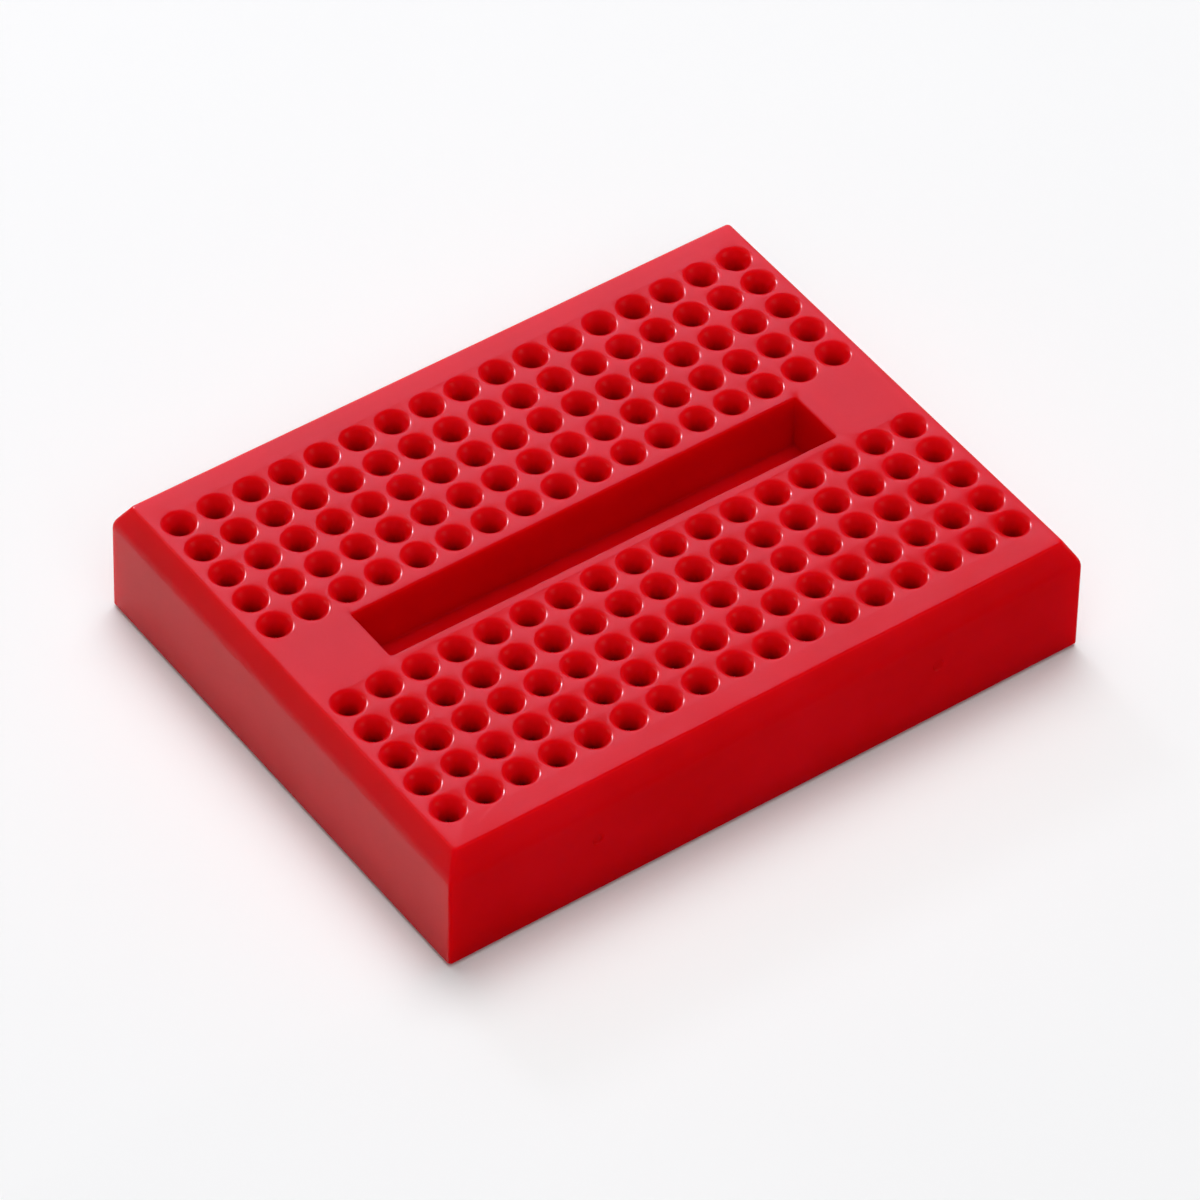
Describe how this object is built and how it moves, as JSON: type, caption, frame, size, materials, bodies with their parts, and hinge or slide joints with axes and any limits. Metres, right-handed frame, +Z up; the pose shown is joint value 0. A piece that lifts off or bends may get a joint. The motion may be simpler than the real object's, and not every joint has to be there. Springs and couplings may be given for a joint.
{
  "type": "solderless breadboard",
  "caption": "Mini solderless breadboard: moulded housing with a grid of round tie points, a centre trough, sprung contact clips inside and a peel-off adhesive foam base.",
  "frame": {"origin": "middle of the underside, on the surface that the release liner lies on", "axes": "+X along the columns' numbering and the centre trough, +Y from the front block of rows to the rear block, +Z up out of the tie points"},
  "size_m": [0.0456, 0.0356, 0.0086],
  "materials": {
    "housing_plastic": "semi-gloss moulded red ABS",
    "clip_metal": "nickel-plated phosphor bronze, bright rolled sheet",
    "foam": "closed-cell foam with acrylic adhesive on both faces",
    "liner_paper": "siliconised release paper"
  },
  "bodies": {
    "board": {"housing": "housing_plastic", "contact_clip_front_01": "clip_metal", "contact_clip_front_02": "clip_metal", "contact_clip_front_03": "clip_metal", "contact_clip_front_04": "clip_metal", "contact_clip_front_05": "clip_metal", "contact_clip_front_06": "clip_metal", "contact_clip_front_07": "clip_metal", "contact_clip_front_08": "clip_metal", "contact_clip_front_09": "clip_metal", "contact_clip_front_10": "clip_metal", "contact_clip_front_11": "clip_metal", "contact_clip_front_12": "clip_metal", "contact_clip_front_13": "clip_metal", "contact_clip_front_14": "clip_metal", "contact_clip_front_15": "clip_metal", "contact_clip_front_16": "clip_metal", "contact_clip_front_17": "clip_metal", "contact_clip_rear_01": "clip_metal", "contact_clip_rear_02": "clip_metal", "contact_clip_rear_03": "clip_metal", "contact_clip_rear_04": "clip_metal", "contact_clip_rear_05": "clip_metal", "contact_clip_rear_06": "clip_metal", "contact_clip_rear_07": "clip_metal", "contact_clip_rear_08": "clip_metal", "contact_clip_rear_09": "clip_metal", "contact_clip_rear_10": "clip_metal", "contact_clip_rear_11": "clip_metal", "contact_clip_rear_12": "clip_metal", "contact_clip_rear_13": "clip_metal", "contact_clip_rear_14": "clip_metal", "contact_clip_rear_15": "clip_metal", "contact_clip_rear_16": "clip_metal", "contact_clip_rear_17": "clip_metal", "foam_pad": "foam"},
    "liner": {"release_liner": "liner_paper"}
  },
  "joints": [
    {"name": "liner_removal", "type": "slide", "parent": "board", "child": "liner", "axis": [1, 0, 0], "range_m": [0, 0.05]}
  ]
}
